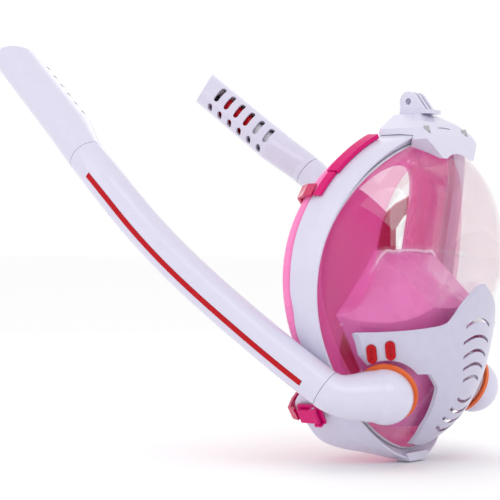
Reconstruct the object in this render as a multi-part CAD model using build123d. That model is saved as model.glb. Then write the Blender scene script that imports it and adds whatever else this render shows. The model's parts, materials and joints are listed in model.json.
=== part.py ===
from build123d import *
import math
import os

# Full-face snorkel mask with two swivelling dry-top snorkels.  Units are mm.
# Frame: +X wearer's left, -Y the way the wearer looks, +Z up.  Origin: middle
# of the face-seal opening.  Every paired piece is made once on the wearer's
# right (-X) and mirrored to the left.

# ---- driving dimensions --------------------------------------------------
RIM_W = 89.0            # half width of the lens opening in the frame
RIM_H = 117.8           # half height of the lens opening
RIM_MID = -5.2          # height of the middle of the lens opening
RIM_EGG = 0.1           # how much wider the forehead is than the jaw
RIM_Y = -25.8           # depth of the lens edge on the centre line
RIM_R = 104.4           # radius of the wrap of the lens edge round the face
RIM_LEAN = -0.1         # lean of the lens edge (top further forward)
LENS_PROUD = 50.0       # how far the visor stands in front of its edge
LENS_MUZZLE = 43.5      # the same where the muzzle cover sits over it
LENS_T = 2.2            # visor wall
COVER_T = 2.2           # muzzle cover wall
COVER_OFF = 2.6         # outside of the muzzle cover beyond the visor surface
WALL_T = 2.4            # frame side wall
SKIRT_T = 2.2           # silicone skirt wall
REAR_Y = -8.8           # depth of the frame's rear edge on the centre line
REAR_R = 112.0          # radius of the wrap of the rear edge
GAP = 0.15              # assembly gap between neighbouring pieces
RUN = 0.3               # gap between pieces that turn on each other

HUB = Vector(-62.6, -33.0, -78.0)                   # centre of the elbow dome
HUB_DIR = Vector(-0.87, -0.31, -0.39).normalized()  # swivel axis, outward
HUB_R = 20.6            # elbow dome radius
SOCKET_R = 15.0         # port socket radius, the journal of the swivel
SOCKET_BORE = 12.4      # air passage
TUBE_R = 14.3           # snorkel tube
TUBE_BORE = 12.2
HEAD_LEN = 136.0        # dry-top head
HEAD_HALF_W = 20.0
HEAD_HALF_T = 14.8
HEAD_SHIFT = 5.5        # the float chamber makes the head fatter inboard
HEAD_DIR = Vector(0.16, 0.765, 0.62).normalized()
CHIN = Vector(0.0, -45.4, -92.0)                    # exhaust valve centre
CHIN_DIR = Vector(0.0, -0.83, -0.56).normalized()   # exhaust blows this way
PRONG_T = 3.0           # action camera finger and gap
PRONG_R = 7.5
BOLT_R = 2.5            # camera bolt bore
PRONG_Y = -18.0
PRONG_Z = 141.0

os.makedirs("parts", exist_ok=True)


def save(shape, name):
    shape.label = name
    export_step(shape, "parts/" + name + ".step")


def save_pair(shape, name):
    save(shape, name + "_r")
    save(mirror(shape, about=Plane.YZ), name + "_l")


def blend(value, low, high):
    t = min(1.0, max(0.0, (value - low) / (high - low)))
    return t * t * (3 - 2 * t)


# ---- the lens outline and everything that follows it ---------------------
def rim(phi):
    x = RIM_W * math.sin(phi) * (1 + RIM_EGG * math.cos(phi))
    z = RIM_MID + RIM_H * math.cos(phi)
    return x, z


def rim_out(phi):
    step = 0.01
    x0, z0 = rim(phi - step)
    x1, z1 = rim(phi + step)
    length = math.hypot(x1 - x0, z1 - z0)
    return -(z1 - z0) / length, (x1 - x0) / length


def edge_y(x, z):
    return RIM_Y + x * x / (2 * RIM_R) + RIM_LEAN * z


def rear_y(x):
    return REAR_Y + x * x / (2 * REAR_R)


def section(profile, phi):
    # profile gives (outward offset, depth) pairs in the plane square to the rim
    x, z = rim(phi)
    nx, nz = rim_out(phi)
    ring = [Vector(-(x + nx * o), y, z + nz * o) for o, y in profile(phi, x, z)]
    return Wire.make_polygon(ring, close=True)


def rim_piece(profile, start, stop, steps):
    angles = [start + (stop - start) * i / steps for i in range(steps + 1)]
    return Solid.make_loft([section(profile, a) for a in angles])


def rim_ring(profile, steps=22):
    half = rim_piece(profile, 0.0, math.pi, steps)
    return half.fuse(mirror(half, about=Plane.YZ))


# ---- the visor's own curved surface --------------------------------------
def proud_surface(x, z, proud):
    v = (z - RIM_MID) / RIM_H
    u = x / (RIM_W * (1 + RIM_EGG * max(-1.0, min(1.0, v))))
    rho2 = u * u + v * v + 1e-9
    upper = blend(z, -30.0, 15.0)
    reach = LENS_PROUD + (proud - LENS_PROUD) * (1 - upper)
    radius = RIM_R + 56.0 * upper
    power = 4.5 + ((4.0 + 2.0 * upper) - 4.5) * u * u / rho2
    rho = math.sqrt(rho2)
    capped = min(rho, 1.04)
    level = capped ** power + power * capped ** (power - 1) * (rho - capped)
    rise = reach + x * x * (0.5 / RIM_R - 0.5 / radius)
    return edge_y(0, z) - reach + x * x / (2 * radius) + rise * level


def skin_point(x, z, inset, proud):
    step = 0.5
    y = proud_surface(x, z, proud)
    dx = (proud_surface(x + step, z, proud) - proud_surface(x - step, z, proud)) / (2 * step)
    dz = (proud_surface(x, z + step, proud) - proud_surface(x, z - step, proud)) / (2 * step)
    inward = Vector(-dx, 1.0, -dz).normalized()
    return Vector(x, y, z) + inward * inset


def behind_skin(inset, proud):
    # everything behind the visor surface moved in by inset
    grid = []
    for i in range(29):
        x = -98.0 + 7.0 * i
        grid.append([skin_point(x, -132.0 + 8.0 * k, inset, proud) for k in range(34)])
    surface = Face.make_surface_from_array_of_points(grid, tol=0.05)
    return Solid.extrude(surface, Vector(0, 220, 0))


def egg_prism(offset):
    pts = []
    for i in range(48):
        phi = 2 * math.pi * i / 48
        x, z = rim(phi)
        nx, nz = rim_out(phi)
        pts.append((x + nx * offset, z + nz * offset))
    outline = Spline(*[Vector(px, -150.0, pz) for px, pz in pts], periodic=True)
    return Solid.extrude(Face(Wire([outline])), Vector(0, 200, 0))


def y_prism(points, y0, y1):
    wire = Wire.make_polygon([Vector(px, y0, pz) for px, pz in points], close=True)
    return Solid.extrude(Face(wire), Vector(0, y1 - y0, 0))


def x_prism(points, x0, x1):
    wire = Wire.make_polygon([Vector(x0, py, pz) for py, pz in points], close=True)
    return Solid.extrude(Face(wire), Vector(x1 - x0, 0, 0))


def rod(origin, axis, start, stop, radius):
    place = Plane(origin=origin + axis * start, z_dir=axis)
    return Solid.make_cylinder(radius, stop - start, place)


def pipe(origin, axis, start, stop, radius, bore):
    return rod(origin, axis, start, stop, radius) - rod(origin, axis, start - 1, stop + 1, bore)


# ---- frame ---------------------------------------------------------------
def lug_amount(z):
    rising = 1 - blend(z, -80.0, -58.0)
    falling = blend(z, -122.0, -102.0)
    return rising * falling


def frame_profile(phi, x, z):
    front = edge_y(x, z)
    rear = rear_y(x) + 27.0 * lug_amount(z)
    flare = 8.0 * lug_amount(z)
    return [
        (0.0, front),
        (5.9, front - 8.0),
        (7.2, front - 7.8),
        (7.9 + 0.5 * flare, front + 4.0),
        (8.2 + flare, rear),
        (8.2 + flare - WALL_T, rear),
        (7.9 + 0.5 * flare - WALL_T, front + 4.0),
        (0.0, front + 3.4),
    ]


frame_ring = rim_ring(frame_profile)
chin_foot = y_prism([(-16, -124.5), (16, -124.5), (11, -131.0), (-11, -131.0)], -22.0, -9.8)
frame_ring = frame_ring + chin_foot
drain = rod(Vector(0, -15.5, -140), Vector(0, 0, 1), 0, 25, 2.2)
frame_ring = frame_ring - drain
CLAMP_X = 27.0
for side in (-1, 1):
    frame_ring = frame_ring - rod(Vector(side * CLAMP_X, -60, 117.6), Vector(0, 1, 0), 0, 40, 1.6)
save(frame_ring, "frame_ring")

# ---- visor ---------------------------------------------------------------
outer_skin = behind_skin(0.0, LENS_MUZZLE)
inner_skin = behind_skin(LENS_T, LENS_MUZZLE)
lens_blank = (outer_skin - inner_skin) & egg_prism(-1.8)
hub_l = Vector(-HUB.X, HUB.Y, HUB.Z)
dir_l = Vector(-HUB_DIR.X, HUB_DIR.Y, HUB_DIR.Z)
port_hole = rod(HUB, HUB_DIR, -40, 0, SOCKET_R + GAP)
port_hole_l = rod(hub_l, dir_l, -40, 0, SOCKET_R + GAP)
chin_hole = rod(CHIN, CHIN_DIR, -25, 15, 12.0 + GAP)
visor_lens = lens_blank - port_hole - port_hole_l - chin_hole
save(visor_lens, "visor_lens")


def gasket_profile(phi, x, z):
    front = edge_y(x, z)
    return [(-1.5, front - 2.4), (-0.4, front - 1.4), (-0.4, front + 3.2), (-1.5, front + 3.2)]


save(rim_ring(gasket_profile), "lens_gasket")


# ---- silicone skirt and its inner shroud ---------------------------------
def skirt_profile(phi, x, z):
    front = edge_y(x, z) + 4.4
    rear = rear_y(x)
    side = math.sin(phi) ** 2
    lip = 20.0 + 15.0 * side
    return [
        (-1.0, front),
        (4.6, front),
        (5.2, rear + 1.0),
        (7.4, rear + 4.0),
        (5.4, rear + 9.0),
        (-1.0, rear + 11.4),
        (-12.0, rear + 10.0),
        (-lip, rear + 3.0),
        (-lip + 0.6, rear + 1.0),
        (-12.0, rear + 7.8),
        (-1.6, rear + 9.0),
        (3.2, rear + 7.0),
        (2.4, rear + 2.0),
        (2.2, front + 2.2),
        (-1.0, front + 2.2),
    ]


silicone_skirt = rim_ring(skirt_profile)
save(silicone_skirt, "silicone_skirt")


def shroud_profile(phi, x, z):
    side = math.sin(phi) ** 2
    front = edge_y(x, z)
    inward = 6.0 + 20.0 * side
    forward = 2.0 + 31.0 * side
    return [
        (-2.6, front + 2.6),
        (-4.6, front + 2.6),
        (-4.8 - 0.5 * inward, front - 0.45 * forward + 0.9),
        (-4.4 - inward, front - forward + 0.8),
        (-3.6 - inward, front - forward - 1.2),
        (-3.0 - 0.5 * inward, front - 0.45 * forward - 0.9),
    ]


shroud_half = rim_piece(shroud_profile, 0.0, math.radians(88.0), 14)
save(shroud_half.fuse(mirror(shroud_half, about=Plane.YZ)), "inner_shroud")


# ---- orinasal cup --------------------------------------------------------
def half_space(point, normal, inset):
    # the block on the outer side of a plane, to be cut away
    place = Plane(origin=Vector(*point) - Vector(*normal).normalized() * inset, z_dir=Vector(*normal))
    return Solid.make_box(400, 400, 200, Plane(place.location * Pos(-200, -200, 0)))


CUP_FACETS = [
    ((12, -14, 28), (0.0, -0.52, 0.854)),
    ((38.5, -14, 24), (0.111, -0.665, 0.738)),
    ((38.5, -14, 24), (0.742, -0.5, 0.446)),
    ((68.0, 0, -60), (0.93, 0.0, -0.36)),
]


def cup_volume(inset):
    body = behind_skin(8.0 + inset, LENS_MUZZLE)
    body = body & y_prism([(-76, -104), (76, -104), (76, 30), (-76, 30)], -100, 14)
    for point, normal in CUP_FACETS:
        for side in (-1, 1):
            place = (side * point[0], point[1], point[2])
            body = body - half_space(place, (side * normal[0], normal[1], normal[2]), inset)
    for centre, axis in ((HUB, HUB_DIR), (hub_l, dir_l)):
        base = centre - axis * 23.0
        body = body - half_space((base.X, base.Y, base.Z), (axis.X, axis.Y, axis.Z), inset)
    return body


def cup_back(shift):
    points = [(-100, 60), (-100, 15.0 + shift)]
    for i in range(17):
        x = -88 + 11.0 * i
        points.append((x, -13.0 + x * x / 380.0 + shift))
    points = points + [(100, 15.0 + shift), (100, 60)]
    wire = Wire.make_polygon([Vector(px, py, -160) for px, py in points], close=True)
    return Solid.extrude(Face(wire), Vector(0, 0, 260))


cup_outer = cup_volume(0.0) - cup_back(0.0)
cup_inner = cup_volume(2.0)
orinasal_cup = cup_outer - cup_inner
VALVE = HUB - HUB_DIR * 24.4
VALVE_DIR = HUB_DIR
valve_l = Vector(-VALVE.X, VALVE.Y, VALVE.Z)
orinasal_cup = orinasal_cup - rod(VALVE, VALVE_DIR, -12, 12, 8.0 + GAP)
orinasal_cup = orinasal_cup - rod(valve_l, dir_l, -12, 12, 8.0 + GAP)
save(orinasal_cup, "orinasal_cup")


def valve_seat(origin, axis, radius, flange):
    # ring with a flange, three spokes and a stem with a button to hold the flap
    ring = pipe(origin, axis, -2.6, 0.0, radius, radius - 1.6)
    ring = ring + pipe(origin, axis, -2.6, -1.6, radius + flange, radius - 1.6)
    place = Plane(origin=origin + axis * -2.6, z_dir=axis)
    spoke = Solid.make_box(2 * radius - 2.0, 1.6, 1.8, Plane(place.location * Pos(-radius + 1.0, -0.8, 0)))
    for turn in (0, 60, 120):
        ring = ring + spoke.rotate(Axis(origin, axis), turn)
    ring = ring + rod(origin, axis, -2.6, 2.6, 1.2)
    return ring + rod(origin, axis, 2.6, 3.4, 2.2)


def valve_flap(origin, axis, radius):
    return pipe(origin, axis, 0.15, 0.95, radius, 1.5)


save_pair(valve_seat(VALVE, VALVE_DIR * -1, 8.0, 1.6), "cup_valve_seat")
save_pair(valve_flap(VALVE, VALVE_DIR * -1, 7.4), "cup_valve_flap")

# ---- chin exhaust valve --------------------------------------------------
save(valve_seat(CHIN, CHIN_DIR, 12.0, 2.4), "exhaust_seat")
save(valve_flap(CHIN, CHIN_DIR, 11.2), "exhaust_flap")

# ---- muzzle cover --------------------------------------------------------
COVER_RIGHT = [(0, 3), (-6, 1), (-22, -10), (-32, -24), (-42, -28), (-60, -31), (-76, -32), (-71, -48)]
COVER_RIGHT = COVER_RIGHT + [(-64, -59), (-52, -62), (-39, -62), (-31, -72), (-27.5, -86), (-23, -102)]
COVER_RIGHT = COVER_RIGHT + [(-14, -118), (0, -123)]
HUB_CLEAR = 24.4
cover_blank = behind_skin(-COVER_OFF, LENS_PROUD) - behind_skin(COVER_T - COVER_OFF, LENS_PROUD)
cover_left = [(-px, pz) for px, pz in reversed(COVER_RIGHT)]
cover_outline = COVER_RIGHT + cover_left[1:-1]
muzzle_cover = cover_blank & y_prism(cover_outline, -110, 30) & egg_prism(-4.0)
for centre, axis in ((HUB, HUB_DIR), (hub_l, dir_l)):
    muzzle_cover = muzzle_cover - rod(centre, axis, -60, 30, HUB_CLEAR)
slot_rows = [(-22, 17, 5), (-34, 18, 5), (-44.5, 16, 5), (-54.5, 14, 4), (-64, 11, 3)]
slot_rows = slot_rows + [(-83, 10, -3), (-91, 12, -3.5), (-98.5, 13, -4), (-105.5, 12, -4)]
for mid_z, half, drop in slot_rows:
    top = []
    for i in range(9):
        x = -half + half * i / 4
        top.append((x, mid_z - drop * (x / half) ** 2))
    lower = [(px, pz - 2.4) for px, pz in reversed(top)]
    muzzle_cover = muzzle_cover - y_prism(top + lower, -110, -20)
CAPSULES = [(-66.6, -46.2), (-60.6, -43.6)]
CAPSULE_HALF_W = 3.6
CAPSULE_HALF_H = 7.2


def capsule(x, z, inset, top, half_w, half_h):
    # a slightly tilted pill standing on the cover surface
    foot = skin_point(x, z, -COVER_OFF, LENS_PROUD)
    out = (skin_point(x, z, -COVER_OFF - 1, LENS_PROUD) - foot).normalized()
    up = (Vector(-0.16, 0, 1) - out * out.dot(Vector(-0.16, 0, 1))).normalized()
    place = Plane(origin=foot + out * inset, x_dir=up, z_dir=out)
    pill = extrude(place * SlotOverall(2 * half_h, 2 * half_w), amount=top - inset)
    return pill


for px, pz in CAPSULES:
    pocket = capsule(px, pz, -6.0, 6.0, CAPSULE_HALF_W + GAP, CAPSULE_HALF_H + GAP).solid()
    muzzle_cover = muzzle_cover - pocket - mirror(pocket, about=Plane.YZ)
save(muzzle_cover, "muzzle_cover")
pills = []
for px, pz in CAPSULES:
    pill = capsule(px, pz, -1.9, 1.4, CAPSULE_HALF_W, CAPSULE_HALF_H)
    pill = pill - capsule(px, pz, 0.6, 3.0, 1.0, CAPSULE_HALF_H - 3.0)
    pills.append(pill.solid())
save_pair(Compound(children=pills), "vent_inlays")

# ---- top bracket and camera mount ----------------------------------------
BRACKET_FRONT = [(-22, 96), (22, 96), (36, 110), (33, 119), (13, 131), (-13, 131), (-33, 119), (-36, 110)]
BRACKET_SIDE = [(-58, 95), (-54, 106), (-50, 114), (-41, 124), (-30, 131), (-9, 131), (-9, 95)]
bracket = y_prism(BRACKET_FRONT, -62, -9) & x_prism(BRACKET_SIDE, -45, 45)
bracket = bracket - (behind_skin(-0.35, LENS_PROUD) & egg_prism(1.0))


def keepout_profile(phi, x, z):
    front = edge_y(x, z)
    nose = [(-1.9, front - 3.2), (5.5, front - 8.5), (7.6, front - 8.3), (8.6, front + 4)]
    return nose + [(8.6, 60), (-1.9, 60)]


bracket = bracket - rim_ring(keepout_profile)
bracket = max(bracket.solids(), key=lambda s: s.volume)
for side in (-1, 1):
    bracket = bracket - rod(Vector(side * CLAMP_X, -70, 117.6), Vector(0, 1, 0), 0, 50, 1.75)
    bracket = bracket - rod(Vector(side * CLAMP_X, -70, 117.6), Vector(0, 1, 0), 0, 25.0, 3.2)
bracket = bracket - rod(Vector(0, -24, 110), Vector(0, 0, 1), 0, 40, 1.85)
save(bracket, "top_bracket")
screws = []
for side in (-1, 1):
    screw = rod(Vector(side * CLAMP_X, -47.2, 117.6), Vector(0, 1, 0), 0, 2.0, 2.9)
    screw = screw + rod(Vector(side * CLAMP_X, -45.4, 117.6), Vector(0, 1, 0), 0, 13, 1.45)
    screws.append(screw.solid())
save(Compound(children=screws), "bracket_screws")

mount_foot = Solid.make_box(17, 26, 3, Plane(origin=(-8.5, -37, 131.2)))
mount_foot = mount_foot + rod(Vector(0, -24, 124), Vector(0, 0, 1), 0, 8, 1.7)
camera_mount = mount_foot
for x0 in (-7.5, -1.5, 4.5):
    finger = rod(Vector(x0, PRONG_Y, PRONG_Z), Vector(1, 0, 0), 0, PRONG_T, PRONG_R)
    side_view = [(-34, 132), (-25, 144), (PRONG_Y, 148.4), (PRONG_Y + 7.2, 139), (PRONG_Y + 7.0, 132)]
    arm = x_prism(side_view, x0, x0 + PRONG_T)
    camera_mount = camera_mount + finger + arm
camera_mount = camera_mount - rod(Vector(-20, PRONG_Y, PRONG_Z), Vector(1, 0, 0), 0, 40, BOLT_R)
save(camera_mount, "camera_mount")

# ---- ports, seals and elbows ---------------------------------------------
socket = pipe(HUB, HUB_DIR, -20.5, 1.2, SOCKET_R, SOCKET_BORE)
flange = pipe(HUB, HUB_DIR, -9.2, -7.6, 19.8, SOCKET_BORE)
socket = socket + flange - pipe(HUB, HUB_DIR, -3.4, -1.4, SOCKET_R + 1, 13.6)
web_plane = Plane(origin=HUB + HUB_DIR * -15.2, z_dir=HUB_DIR)
web = Solid.make_box(2 * SOCKET_BORE, 1.8, 1.8, Plane(web_plane.location * Pos(-SOCKET_BORE, -0.9, 0)))
for turn in (0, 60, 120):
    socket = socket + web.rotate(Axis(HUB, HUB_DIR), turn)
socket = socket + rod(HUB, HUB_DIR, -18.4, -14.0, 1.4) + rod(HUB, HUB_DIR, -19.2, -18.4, 2.6)
save_pair(socket, "port_socket")
save_pair(pipe(HUB, HUB_DIR, -16.4, -15.4, 11.6, 1.75), "inlet_flap")
seal = pipe(HUB, HUB_DIR, -7.45, -4.9, 23.0, SOCKET_R + GAP)
save_pair(seal, "port_seal")
ring_place = Plane(origin=HUB + HUB_DIR * -2.4, z_dir=HUB_DIR)
save_pair(Solid.make_torus(14.42, 0.78, ring_place), "hub_o_ring")
save_pair(pipe(HUB, HUB_DIR, 1.35, 3.2, 16.6, 11.4), "hub_retainer")

# ---- snorkel path --------------------------------------------------------
START = Vector(-96.2, -3.4, -71.5)
SEAM = Vector(-145.5, 184.0, 99.5)
START_DIR = Vector(-0.25, 0.79, 0.56).normalized()
TUBE_POINTS = [START, Vector(-113.0, 53.8, -27.8), Vector(-129.0, 101.2, 13.7), Vector(-140.5, 145.0, 57.5), SEAM]
path = Spline(*TUBE_POINTS, tangents=[START_DIR, HEAD_DIR])


def tube_along(radius):
    return sweep(Plane(origin=path @ 0, z_dir=path % 0) * Circle(radius), path).solid()


def elbow_body(thin):
    rings = []
    bend = Bezier(HUB, HUB * 0.62 + START * 0.38 + HUB_DIR * 2, START - START_DIR * 16, START)
    for i in range(7):
        t = i / 6
        radius = (19.4 - thin) * (1 - blend(t, 0.0, 1.0)) + (14.5 - thin) * blend(t, 0.0, 1.0)
        rings.append((Plane(origin=bend @ t, z_dir=bend % t) * Circle(radius)).wire())
    body = Solid.make_loft(rings)
    dome = Solid.make_sphere(HUB_R - thin, Plane(HUB), -90, 90, 360)
    return body + dome


def block_beyond(origin, direction, size, depth):
    # the block on the far side of a plane, to be cut away
    place = Plane(origin=origin, z_dir=direction)
    return Solid.make_box(size, size, depth, Plane(place.location * Pos(-size / 2, -size / 2, 0)))


bottom_block = block_beyond(HUB + HUB_DIR * -4.6, HUB_DIR * -1, 120, 60)
neck = rod(START, START_DIR, -9.6, 1.0, 13.0 + GAP)
seam_block = block_beyond(START - START_DIR * 0.5, START_DIR, 60, 30)
elbow = elbow_body(0.0) - bottom_block - seam_block
passage = elbow_body(2.6) - block_beyond(HUB + HUB_DIR * 1.0, HUB_DIR * -1, 120, 60)
elbow = elbow - passage - neck - rod(HUB, HUB_DIR, -12, 2.0, SOCKET_R + RUN)
save_pair(elbow, "elbow")

spigot = pipe(START, START_DIR, -9.4, 3.0, 13.0, 11.0)
tube = tube_along(TUBE_R) - tube_along(TUBE_BORE)
tube = tube + spigot


def stripe_body(width, low, high, grow):
    rings = []
    for i in range(15):
        t = 0.055 + grow + (0.87 - 2 * grow) * i / 14
        centre = path @ t
        along = path % t
        out = (HUB_DIR - along * HUB_DIR.dot(along)).normalized()
        place = Plane(origin=centre + out * ((low + high) / 2), x_dir=along.cross(out), z_dir=along)
        rings.append((place * Rectangle(width, high - low)).wire())
    return Solid.make_loft(rings)


tube = tube - stripe_body(4.5, 13.2, 16.0, -0.001)
save_pair(tube, "snorkel_tube")
save_pair(stripe_body(4.2, 13.35, 14.55, 0.0005), "tube_stripe")

# ---- dry-top head --------------------------------------------------------
inboard = (Vector(1, 0, 0) - HEAD_DIR * HEAD_DIR.X).normalized()
head_place = Plane(origin=SEAM, x_dir=inboard, z_dir=HEAD_DIR)


def head_solid(thin, low, top):
    a = HEAD_HALF_W - thin
    b = HEAD_HALF_T - thin
    collar = Solid.make_cylinder(TUBE_R - thin, 6.0)
    small = Pos(0, 0, 6.0) * Circle(TUBE_R - thin)
    large = Pos(HEAD_SHIFT, 0, 38.0) * Ellipse(a, b)
    swell = Solid.make_loft([small.wire(), large.wire()])
    barrel = extrude(Pos(HEAD_SHIFT, 0, 38.0) * Ellipse(a, b), amount=HEAD_LEN - 30.0).solid()
    body = collar + swell + barrel
    tip = Plane(origin=(HEAD_SHIFT, 0, top), z_dir=(0.42, 0, 0.91))
    body = body - Solid.make_box(120, 120, 60, Plane(tip.location * Pos(-60, -60, 0)))
    return body & Solid.make_box(120, 120, 200, Plane(origin=(-60, -60, low)))


head = head_solid(0.0, 0.5, HEAD_LEN - 6)
head = head - head_solid(2.2, 1.8, HEAD_LEN - 8.6)
head = head + Solid.make_cylinder(11.6, 8, Plane(origin=(0, 0, -6)))
head = head - Solid.make_cylinder(9.8, 16, Plane(origin=(0, 0, -9)))
for i in range(6):
    s = 44.0 + 12.4 * i
    for angle, length, height in ((-42.0, 17.0, 5.0), (18.0, 8.0, 5.2)):
        turn = math.radians(angle)
        out = (math.cos(turn), math.sin(turn), 0)
        at = Plane(origin=(HEAD_SHIFT + 3.5 + 4 * out[0], 4 * out[1], s), x_dir=(0, 0, 1), z_dir=out)
        cutter = extrude(at * SlotOverall(length, height, rotation=78), amount=26)
        head = head - cutter.solid()
save_pair(head_place.location * head, "snorkel_head")

chamber = head_solid(2.2 + GAP, 30.0, HEAD_LEN - 12)
divider = chamber & Solid.make_box(1.6, 60, 74, Plane(origin=(-1.6, -30, 38)))
floor = chamber & Solid.make_box(60, 60, 1.8, Plane(origin=(-1.6, -30, 38)))
seat = chamber & Solid.make_box(60, 60, 2.0, Plane(origin=(-1.6, -30, 110)))
seat = seat - Solid.make_cylinder(6.0, 10, Plane(origin=(11.2, 0, 105)))
drains = Solid.make_cylinder(1.2, 10, Plane(origin=(20.0, 0, 34)))
cage = divider + floor + seat - drains
save_pair(head_place.location * cage, "float_cage")
float_body = Solid.make_cylinder(9.2, 20, Plane(origin=(11.0, 0, 41.0)))
float_body = float_body + Solid.make_cylinder(6.8, 54, Plane(origin=(11.0, 0, 41.0)))
save_pair(head_place.location * float_body, "float_body")
cap = Solid.make_cylinder(9.2, 39.6, Plane(origin=(11.0, 0, 61.4)))
cap = cap - Solid.make_cylinder(6.8 + GAP, 36.0, Plane(origin=(11.0, 0, 59.4)))
save_pair(head_place.location * cap, "float_seal")


# ---- head harness, clips and buckles -------------------------------------
def strap(stations, width, thick, ruled=False):
    # a flat strap through (point, width direction) stations
    rings = []
    for i, (point, across) in enumerate(stations):
        before = stations[max(0, i - 1)][0]
        after = stations[min(len(stations) - 1, i + 1)][0]
        along = (after - before).normalized()
        flat = (across - along * across.dot(along)).normalized()
        place = Plane(origin=point, x_dir=flat, z_dir=along)
        rings.append((place * Rectangle(width[i], thick)).wire())
    return Solid.make_loft(rings, ruled)


def pad_y(x):
    return 53.0 - x * x / 300.0


pad_stations = []
for i in range(9):
    x = -64.0 + 16.0 * i
    pad_stations.append((Vector(x, pad_y(x), -4.0), Vector(0, 0, 1)))
pad_width = [104, 138, 158, 170, 174, 170, 158, 138, 104]
harness = strap(pad_stations, pad_width, 2.4)


def beside_rim(phi, offset, y, side):
    x, z = rim(phi)
    nx, nz = rim_out(phi)
    return Vector(side * (x + nx * offset), y, z + nz * offset)


UPPER_PHI = math.radians(52.0)
LOWER_PHI = math.radians(131.0)
for side in (-1, 1):
    high_path = [Vector(side * 50, 44.6, 42)]
    for offset, y in ((-12, 34.6), (-2, 31.0), (7.5, 29.0), (10.6, 22.5), (10.6, 15.4)):
        high_path.append(beside_rim(UPPER_PHI, offset, y, side))
    low_path = [Vector(side * 48, 45.2, -20), Vector(side * 52, 45.0, -50)]
    for offset, y in ((-6, 44), (8, 43), (18.2, 40), (19.4, 34.5)):
        low_path.append(beside_rim(LOWER_PHI, offset, y, side))
    across_high = Vector(-side * 0.61, 0, 0.79)
    across_low = Vector(side * 0.62, 0, 0.78)
    harness = harness + strap([(p, across_high) for p in high_path], [20, 14, 12, 11, 11, 11], 2.0, True)
    harness = harness + strap([(p, across_low) for p in low_path], [20, 15, 12, 11, 11, 11], 2.0, True)
save(harness, "head_harness")


def clip_profile(phi, x, z):
    rear = rear_y(x)
    return [(8.6, rear - 10.5), (11.8, rear - 9.9), (12.2, rear - 1.5), (8.6, rear - 0.5)]


def loop_profile(phi, x, z):
    rear = rear_y(x)
    return [(8.7, rear - 9.0), (11.2, rear - 8.4), (11.5, rear - 3.0), (8.7, rear - 2.4)]


save_pair(rim_piece(clip_profile, math.radians(22), math.radians(44), 8), "strap_clip")
save_pair(rim_piece(loop_profile, math.radians(44.4), math.radians(54), 5), "strap_loop")

BUCKLE_PHI = math.radians(131.0)
bx, bz = rim(BUCKLE_PHI)
bnx, bnz = rim_out(BUCKLE_PHI)
rear_here = rear_y(bx) + 27.0 * lug_amount(bz)
foot_point = Vector(-(bx + bnx * 16.6), rear_here - 14.0, bz + bnz * 16.6)
buckle_place = Plane(origin=foot_point, x_dir=(0, 1, 0), z_dir=(-bnx, 0, bnz))
base = Solid.make_box(20, 16, 2.4, Plane(origin=(-10, -8, 0)))
for y0 in (-8, 6.2):
    ear = Solid.make_box(6, 1.8, 4.6, Plane(origin=(-9, y0, 2.0)))
    base = base + ear
base = base - Solid.make_cylinder(1.1, 40, Plane(origin=(-6, -20, 4.4), z_dir=(0, 1, 0)))
save_pair(buckle_place.location * base, "buckle_base")
pin = Solid.make_cylinder(1.05, 16.0, Plane(origin=(-6, -8.0, 4.4), z_dir=(0, 1, 0)))
save_pair(buckle_place.location * pin, "buckle_pin")
lever = Solid.make_box(15, 11.6, 2.2, Plane(origin=(-6, -5.8, 3.3)))
lever = lever + Solid.make_cylinder(1.9, 11.6, Plane(origin=(-6, -5.8, 4.4), z_dir=(0, 1, 0)))
lever = lever - Solid.make_cylinder(1.1, 40, Plane(origin=(-6, -20, 4.4), z_dir=(0, 1, 0)))
save_pair(buckle_place.location * lever, "buckle_lever")
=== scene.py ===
import json
import math
import bpy
import bmesh
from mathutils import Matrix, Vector


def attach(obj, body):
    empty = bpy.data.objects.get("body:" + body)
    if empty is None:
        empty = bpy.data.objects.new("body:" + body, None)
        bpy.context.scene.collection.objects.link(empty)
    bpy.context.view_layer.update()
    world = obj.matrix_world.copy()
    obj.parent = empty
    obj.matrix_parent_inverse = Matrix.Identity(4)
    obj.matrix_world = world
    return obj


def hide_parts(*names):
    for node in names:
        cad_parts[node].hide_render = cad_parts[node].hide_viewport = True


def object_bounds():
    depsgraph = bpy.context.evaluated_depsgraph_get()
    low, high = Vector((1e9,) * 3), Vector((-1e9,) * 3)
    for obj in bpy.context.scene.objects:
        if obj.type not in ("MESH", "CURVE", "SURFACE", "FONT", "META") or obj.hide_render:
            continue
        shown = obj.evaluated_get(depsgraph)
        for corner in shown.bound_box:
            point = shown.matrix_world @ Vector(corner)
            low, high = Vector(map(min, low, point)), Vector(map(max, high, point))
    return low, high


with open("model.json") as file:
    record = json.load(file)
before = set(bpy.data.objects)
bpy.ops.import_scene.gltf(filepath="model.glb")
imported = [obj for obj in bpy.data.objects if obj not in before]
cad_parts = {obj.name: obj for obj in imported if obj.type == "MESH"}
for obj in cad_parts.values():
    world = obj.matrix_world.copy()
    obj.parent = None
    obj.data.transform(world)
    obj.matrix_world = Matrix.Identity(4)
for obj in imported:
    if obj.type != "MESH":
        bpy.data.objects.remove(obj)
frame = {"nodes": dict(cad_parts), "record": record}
low0, high0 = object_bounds()
NODES = frame["nodes"]
MM = 0.001

# ---- the mask's own lines, in mm, as the solids have them ----
RIM_W, RIM_H, RIM_MID, RIM_EGG = 89.0, 117.8, -5.2, 0.1
RIM_Y, RIM_R, RIM_LEAN = -25.8, 104.4, -0.1
REAR_Y, REAR_R = -8.8, 112.0
PROUD, PROUD_LOW = 50.0, 43.5


def smooth(value, low, high):
    t = min(1.0, max(0.0, (value - low) / (high - low)))
    return t * t * (3 - 2 * t)


def rim(phi):
    return RIM_W * math.sin(phi) * (1 + RIM_EGG * math.cos(phi)), RIM_MID + RIM_H * math.cos(phi)


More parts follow.
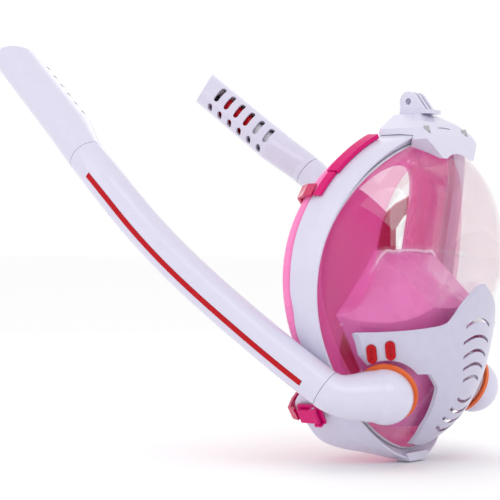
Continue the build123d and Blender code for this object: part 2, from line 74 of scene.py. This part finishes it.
def rim_out(phi):
    x0, z0 = rim(phi - 0.01)
    x1, z1 = rim(phi + 0.01)
    length = math.hypot(x1 - x0, z1 - z0)
    return -(z1 - z0) / length, (x1 - x0) / length


def edge_y(x, z):
    return RIM_Y + x * x / (2 * RIM_R) + RIM_LEAN * z


def rear_y(x):
    return REAR_Y + x * x / (2 * REAR_R)


def lug_amount(z):
    return (1 - smooth(z, -80.0, -58.0)) * smooth(z, -122.0, -102.0)


def surface_y(x, z, proud):
    v = (z - RIM_MID) / RIM_H
    u = x / (RIM_W * (1 + RIM_EGG * max(-1.0, min(1.0, v))))
    rho2 = u * u + v * v + 1e-9
    upper = smooth(z, -30.0, 15.0)
    reach = PROUD + (proud - PROUD) * (1 - upper)
    radius = RIM_R + 56.0 * upper
    power = 4.5 + ((4.0 + 2.0 * upper) - 4.5) * u * u / rho2
    rho = math.sqrt(rho2)
    capped = min(rho, 1.04)
    level = capped ** power + power * capped ** (power - 1) * (rho - capped)
    rise = reach + x * x * (0.5 / RIM_R - 0.5 / radius)
    return edge_y(0, z) - reach + x * x / (2 * radius) + rise * level


def skin(x, z, inset, proud):
    y = surface_y(x, z, proud)
    dx = surface_y(x + 0.5, z, proud) - surface_y(x - 0.5, z, proud)
    dz = surface_y(x, z + 0.5, proud) - surface_y(x, z - 0.5, proud)
    return Vector((x, y, z)) + Vector((-dx, 1.0, -dz)).normalized() * inset


# ---- materials ----
def nodes_of(name):
    mat = bpy.data.materials.new(name)
    mat.use_nodes = True
    tree = mat.node_tree
    return mat, tree, tree.nodes["Principled BSDF"]


def put(shader, **values):
    for key, value in values.items():
        shader.inputs[key.replace("_", " ")].default_value = value


def grain(tree, shader, scale, bump, rough_low, rough_high):
    coords = tree.nodes.new("ShaderNodeTexCoord")
    noise = tree.nodes.new("ShaderNodeTexNoise")
    noise.inputs["Scale"].default_value = scale
    noise.inputs["Detail"].default_value = 3.0
    tree.links.new(coords.outputs["Object"], noise.inputs["Vector"])
    ramp = tree.nodes.new("ShaderNodeMapRange")
    ramp.inputs["To Min"].default_value = rough_low
    ramp.inputs["To Max"].default_value = rough_high
    tree.links.new(noise.outputs["Fac"], ramp.inputs["Value"])
    tree.links.new(ramp.outputs["Result"], shader.inputs["Roughness"])
    lift = tree.nodes.new("ShaderNodeBump")
    lift.inputs["Strength"].default_value = bump
    lift.inputs["Distance"].default_value = 0.0005
    tree.links.new(noise.outputs["Fac"], lift.inputs["Height"])
    tree.links.new(lift.outputs["Normal"], shader.inputs["Normal"])
    return noise


def tinted(tree, shader, noise, dark, light):
    mix = tree.nodes.new("ShaderNodeMix")
    mix.data_type = "RGBA"
    mix.inputs["A"].default_value = (*dark, 1)
    mix.inputs["B"].default_value = (*light, 1)
    tree.links.new(noise.outputs["Fac"], mix.inputs["Factor"])
    tree.links.new(mix.outputs["Result"], shader.inputs["Base Color"])


def plastic(name, dark, light, rough=(0.2, 0.3), bump=0.03, scale=120.0, coat=0.3, spec=0.5):
    mat, tree, shader = nodes_of(name)
    noise = grain(tree, shader, scale, bump, *rough)
    tinted(tree, shader, noise, dark, light)
    put(shader, Coat_Weight=coat, Coat_Roughness=0.08, Specular_IOR_Level=spec)
    return mat


def silicone(name, dark, light, alpha, rough=(0.22, 0.34), scatter=0.25, coat=0.2, painted_glow=0.0):
    mat, tree, shader = nodes_of(name)
    noise = grain(tree, shader, 60.0, 0.05, *rough)
    tinted(tree, shader, noise, dark, light)
    put(shader, Alpha=alpha, Subsurface_Weight=scatter, Subsurface_Scale=0.004)
    put(shader, Coat_Weight=coat, Coat_Roughness=0.1)
    shader.inputs["Subsurface Radius"].default_value = (1.0, 0.35, 0.6)
    # emission in the light tone is painted glow: it stands in for light passing through the silicone and lifts
    # its shaded inside
    put(shader, Emission_Color=(*light, 1), Emission_Strength=painted_glow)
    return mat


def clear(name, tint, alpha, rough):
    mat, tree, shader = nodes_of(name)
    grain(tree, shader, 25.0, 0.0, rough, rough + 0.01)
    put(shader, Base_Color=(*tint, 1), Alpha=alpha, Transmission_Weight=1.0, IOR=1.42)
    return mat


SHELL = plastic("shell", (0.62, 0.60, 0.74), (0.66, 0.64, 0.78))
BEVEL = plastic("bevel", (0.42, 0.43, 0.50), (0.47, 0.48, 0.55), rough=(0.28, 0.36))
COVER = plastic("cover", (0.50, 0.48, 0.62), (0.56, 0.54, 0.68), rough=(0.26, 0.36))
RED = plastic("red", (0.42, 0.0, 0.004), (0.50, 0.0, 0.008), rough=(0.12, 0.2), coat=0.12, spec=0.15)
CLIP = plastic("clip", (0.60, 0.0, 0.13), (0.68, 0.003, 0.18), rough=(0.3, 0.4), coat=0.08, spec=0.25)
MAGENTA = silicone("magenta", (0.50, 0.0, 0.07), (0.60, 0.0, 0.11), 1.0, (0.14, 0.22), scatter=0.0, coat=0.5)
# skirt, shroud and cup carry a small painted glow that brightens their shaded inner walls
SKIRT = silicone("skirt", (0.84, 0.18, 0.48), (0.90, 0.26, 0.56), 0.84, painted_glow=0.12)
SHROUD = silicone("shroud", (0.82, 0.06, 0.38), (0.88, 0.10, 0.46), 0.26, scatter=0.0, painted_glow=0.15)
CUP = silicone("cup", (0.76, 0.14, 0.44), (0.84, 0.20, 0.54), 0.82, painted_glow=0.05)
ORANGE = plastic("orange", (0.70, 0.10, 0.01), (0.80, 0.15, 0.02), rough=(0.3, 0.4), coat=0.1)
FLAP = silicone("flap", (0.75, 0.74, 0.72), (0.82, 0.81, 0.80), 1.0, scatter=0.1)
SEAT = plastic("seat", (0.62, 0.61, 0.68), (0.68, 0.67, 0.74), rough=(0.35, 0.45))
STEEL = plastic("steel", (0.45, 0.45, 0.47), (0.5, 0.5, 0.52), rough=(0.25, 0.35), coat=0.0)
STEEL.node_tree.nodes["Principled BSDF"].inputs["Metallic"].default_value = 1.0
VISOR = clear("visor", (0.78, 0.80, 0.88), 0.18, 0.02)
# pale glossy silicone for the cup's rim bead; its pale tone is a painted highlight
CUP_RIM_HIGHLIGHT = silicone("cup_rim_highlight", (0.90, 0.58, 0.74), (0.94, 0.66, 0.80), 0.9, (0.1, 0.16), scatter=0.0, coat=0.5)
FLOOR = plastic("floor", (0.97, 0.97, 0.97), (0.98, 0.98, 0.98), rough=(0.8, 0.9), coat=0.0)

LOOK = {
    "shell": SHELL,
    "visor": VISOR,
    "silicone": SKIRT,
    "cup_silicone": CUP,
    "magenta": MAGENTA,
    "clip": CLIP,
    "cover": COVER,
    "red": RED,
    "orange": ORANGE,
    "flap": FLAP,
    "dark_seal": SEAT,
    "seat_plastic": SEAT,
    "steel": STEEL,
}
SOFTENED = ("top_bracket", "camera_mount", "strap_clip", "strap_loop")
SOFTENED = SOFTENED + ("buckle_base", "buckle_lever", "vent_inlays")
SOFT_EDGE = 0.0009
SOFT_EDGE_INLAY = 0.0007
SMOOTH_ANGLE = math.radians(38)
for entry in frame["record"]["subparts"]:
    node = NODES[entry["node"]]
    node.data.materials.clear()
    node.data.materials.append(LOOK[entry["material_slot"]])
    bpy.context.view_layer.objects.active = node
    node.select_set(True)
    bpy.ops.object.shade_smooth_by_angle(angle=SMOOTH_ANGLE)
    node.select_set(False)
    stem = entry["node"].rsplit("_", 1)[0] if entry["node"][-2:] in ("_r", "_l") else entry["node"]
    if stem in SOFTENED:
        soften = node.modifiers.new("soften", "BEVEL")
        soften.width = SOFT_EDGE_INLAY if stem == "vent_inlays" else SOFT_EDGE
        soften.segments = 3
        soften.angle_limit = math.radians(30)


# ---- mesh building ----
def make(name, verts, faces, mats, face_mat=None, sub=0, body="mask"):
    mesh = bpy.data.meshes.new(name)
    mesh.from_pydata([tuple(c * MM for c in v) for v in verts], [], faces)
    for mat in mats:
        mesh.materials.append(mat)
    work = bmesh.new()
    work.from_mesh(mesh)
    bmesh.ops.recalc_face_normals(work, faces=work.faces)
    work.to_mesh(mesh)
    work.free()
    if face_mat:
        for poly, index in zip(mesh.polygons, face_mat):
            poly.material_index = index
    for poly in mesh.polygons:
        poly.use_smooth = True
    piece = bpy.data.objects.new(name, mesh)
    bpy.context.scene.collection.objects.link(piece)
    if sub:
        mod = piece.modifiers.new("round", "SUBSURF")
        mod.levels = sub
        mod.render_levels = sub
    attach(piece, body)
    return piece


def ring_mesh(name, profile, mats, bands=None, start=0.0, stop=2 * math.pi, steps=160, closed=True, sub=1):
    verts, faces, tags = [], [], []
    count = None
    for i in range(steps if closed else steps + 1):
        phi = start + (stop - start) * i / steps
        x, z = rim(phi)
        nx, nz = rim_out(phi)
        points = profile(phi, x, z)
        count = len(points)
        for o, y in points:
            verts.append((-(x + nx * o), y, z + nz * o))
    rows = steps if closed else steps
    total = steps if closed else steps + 1
    for i in range(rows):
        j = (i + 1) % total
        for k in range(count):
            m = (k + 1) % count
            faces.append((i * count + k, i * count + m, j * count + m, j * count + k))
            tags.append(bands[k] if bands else 0)
    if not closed:
        faces.append(tuple(range(count)))
        faces.append(tuple((total - 1) * count + k for k in reversed(range(count))))
        tags += [0, 0]
    return make(name, verts, faces, mats, tags, sub)


def frame_profile(phi, x, z):
    front = edge_y(x, z)
    rear = rear_y(x) + 27.0 * lug_amount(z)
    flare = 8.0 * lug_amount(z)
    return [
        (0.0, front + 0.4), (0.3, front - 0.3), (3.0, front - 4.0), (5.6, front - 7.5),
        (6.3, front - 7.95), (7.0, front - 7.6), (7.6, front - 3.0), (7.95 + 0.5 * flare, front + 4.0),
        (8.15 + flare, rear - 1.0), (8.0 + flare, rear - 0.2), (7.2 + flare, rear), (6.2 + flare, rear - 0.2),
        (5.9 + flare, rear - 1.0), (5.6 + 0.5 * flare, front + 4.6), (4.8, front + 3.6),
        (0.6, front + 3.4), (0.0, front + 2.8),
    ]


# the grey bevel is the first four bands of the profile and the last two
frame_bands = [1] * 4 + [0] * 11 + [1] * 2
frame_look = ring_mesh("frame_look", frame_profile, [SHELL, BEVEL], frame_bands)


def skirt_profile(phi, x, z):
    front = edge_y(x, z) + 4.4
    rear = rear_y(x)
    lip = 20.0 + 15.0 * math.sin(phi) ** 2
    return [
        (-1.0, front), (2.0, front), (4.6, front), (5.0, rear - 1.0), (5.2, rear + 1.0),
        (6.6, rear + 2.6), (7.4, rear + 4.6), (6.9, rear + 7.2), (5.2, rear + 9.4), (2.0, rear + 11.0),
        (-2.0, rear + 11.6), (-7.0, rear + 11.2), (-12.0, rear + 10.0), (-0.5 * lip - 8, rear + 7.4),
        (-lip + 1.5, rear + 3.4), (-lip, rear + 2.2), (-lip + 1.2, rear + 1.4), (-0.5 * lip - 7.6, rear + 5.2),
        (-12.0, rear + 7.8), (-6.0, rear + 9.0), (-1.6, rear + 9.2), (1.6, rear + 8.4), (3.4, rear + 6.4),
        (3.0, rear + 3.6), (2.4, rear + 1.6), (2.3, front + 3.4), (1.6, front + 2.4), (-1.0, front + 2.2),
    ]


skirt_look = ring_mesh("skirt_look", skirt_profile, [SKIRT])
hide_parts("silicone_skirt")


def shroud_profile(phi, x, z):
    side = math.sin(phi) ** 2 * (1 - 0.97 * smooth(abs(phi), math.radians(78), math.radians(120)))
    front = edge_y(x, z)
    inward = 6.0 + 20.0 * side
    forward = 2.0 + 31.0 * side
    return [
        (-2.6, front + 2.6), (-4.4, front + 2.6), (-4.3 - 0.3 * inward, front - 0.22 * forward + 0.9),
        (-4.6 - 0.6 * inward, front - 0.6 * forward + 0.9),
        (-4.6 - 0.92 * inward, front - 0.93 * forward + 0.9),
        (-5.2 - inward, front - forward - 0.2), (-4.4 - inward, front - forward - 1.5),
        (-3.3 - 0.94 * inward, front - 0.95 * forward - 1.3),
        (-3.2 - 0.6 * inward, front - 0.6 * forward - 0.5),
        (-2.9 - 0.3 * inward, front - 0.22 * forward - 0.5),
    ]


SHROUD_END = math.radians(128)
shroud_look = ring_mesh(
    "shroud_look", shroud_profile, [SHROUD], start=-SHROUD_END, stop=SHROUD_END, steps=150, closed=False
)
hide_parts("inner_shroud")


def tube_mesh(name, path, radius, mat, body="mask", ring=10, steps=6):
    # a round bead through points, smoothed by Catmull-Rom steps
    pts = [Vector(p) for p in path]
    line = []
    for i in range(len(pts) - 1):
        p0, p1, p2, p3 = pts[max(0, i - 1)], pts[i], pts[i + 1], pts[min(len(pts) - 1, i + 2)]
        for k in range(steps):
            t = k / steps
            square = (2 * p0 - 5 * p1 + 4 * p2 - p3) * t * t
            cube = (3 * p1 - p0 - 3 * p2 + p3) * t ** 3
            line.append(0.5 * ((2 * p1) + (p2 - p0) * t + square + cube))
    line.append(pts[-1])
    verts, faces = [], []
    side = Vector((0, 0, 1))
    for i, p in enumerate(line):
        along = (line[min(len(line) - 1, i + 1)] - line[max(0, i - 1)]).normalized()
        across = (side - along * side.dot(along)).normalized()
        other = along.cross(across)
        for k in range(ring):
            a = 2 * math.pi * k / ring
            verts.append(p + across * radius * math.cos(a) + other * radius * math.sin(a))
    for i in range(len(line) - 1):
        for k in range(ring):
            m = (k + 1) % ring
            faces.append((i * ring + k, i * ring + m, (i + 1) * ring + m, (i + 1) * ring + k))
    faces.append(tuple(range(ring)))
    faces.append(tuple((len(line) - 1) * ring + k for k in reversed(range(ring))))
    piece = make(name, verts, faces, [mat], None, 1, body)
    return piece


# pale bead along the cup's rim: the rim is a real thick edge, and its pale colour is a painted highlight
cup_rim_highlight_path = [(-71, 0.5, -27), (-60, -4.5, -12), (-38.5, -13.2, 24), (-20, -14.2, 27.3), (0, -14.4, 28.2)]
cup_rim_highlight_path = cup_rim_highlight_path + [(-x, y, z) for x, y, z in reversed(cup_rim_highlight_path[:-1])]
tube_mesh("cup_rim_highlight_bead", cup_rim_highlight_path, 1.5, CUP_RIM_HIGHLIGHT)

cover_top = [(-75.2, -32.2), (-60, -31), (-42, -28), (-32, -24), (-22, -10), (-6, 1), (0, 2.6)]
cover_top = cover_top + [(-x, z) for x, z in reversed(cover_top[:-1])]
tube_mesh("cover_lip", [skin(x, z, -1.5, PROUD) for x, z in cover_top], 1.15, COVER)

# ---- camera, light, floor ----
floor_mesh = bpy.data.meshes.new("floor")
FLOOR_HALF = 30.0
FLOOR_Z = low0[2] - 0.001
corners = []
for sx, sy in ((-1, -1), (1, -1), (1, 1), (-1, 1)):
    corners.append((sx * FLOOR_HALF, sy * FLOOR_HALF, FLOOR_Z))
floor_mesh.from_pydata(corners, [], [(0, 1, 2, 3)])
floor_mesh.materials.append(FLOOR)
floor = bpy.data.objects.new("floor", floor_mesh)
bpy.context.scene.collection.objects.link(floor)

world = bpy.data.worlds.new("world")
bpy.context.scene.world = world
world.use_nodes = True
world.node_tree.nodes["Background"].inputs["Color"].default_value = (1, 1, 1, 1)
world.node_tree.nodes["Background"].inputs["Strength"].default_value = 1.0


def area_light(name, place, target, size, power):
    data = bpy.data.lights.new(name, "AREA")
    data.shape = "RECTANGLE"
    data.size, data.size_y = size
    data.energy = power
    lamp = bpy.data.objects.new(name, data)
    bpy.context.scene.collection.objects.link(lamp)
    lamp.location = place
    aim = Vector(target) - Vector(place)
    lamp.rotation_euler = aim.to_track_quat("-Z", "Y").to_euler()


area_light("key", (-0.9, -1.2, 1.3), (0, 0, 0), (1.0, 1.0), 4.5)
area_light("side", (-1.5, 0.5, 0.7), (0, 0, 0), (0.9, 1.2), 2.0)
area_light("back", (0.9, 1.0, 0.9), (0, 0, 0), (1.2, 0.8), 2.5)

cam_data = bpy.data.cameras.new("camera")
cam_data.lens = 119.07
cam_data.sensor_width = 36.0
camera = bpy.data.objects.new("camera", cam_data)
camera.location = (-1.0740, -0.6858, 0.0285)
camera.rotation_euler = Vector((0.7932, 0.6090, 0.0)).to_track_quat("-Z", "Y").to_euler()
bpy.context.scene.collection.objects.link(camera)
bpy.context.scene.camera = camera

bpy.context.scene.view_settings.view_transform = "Standard"
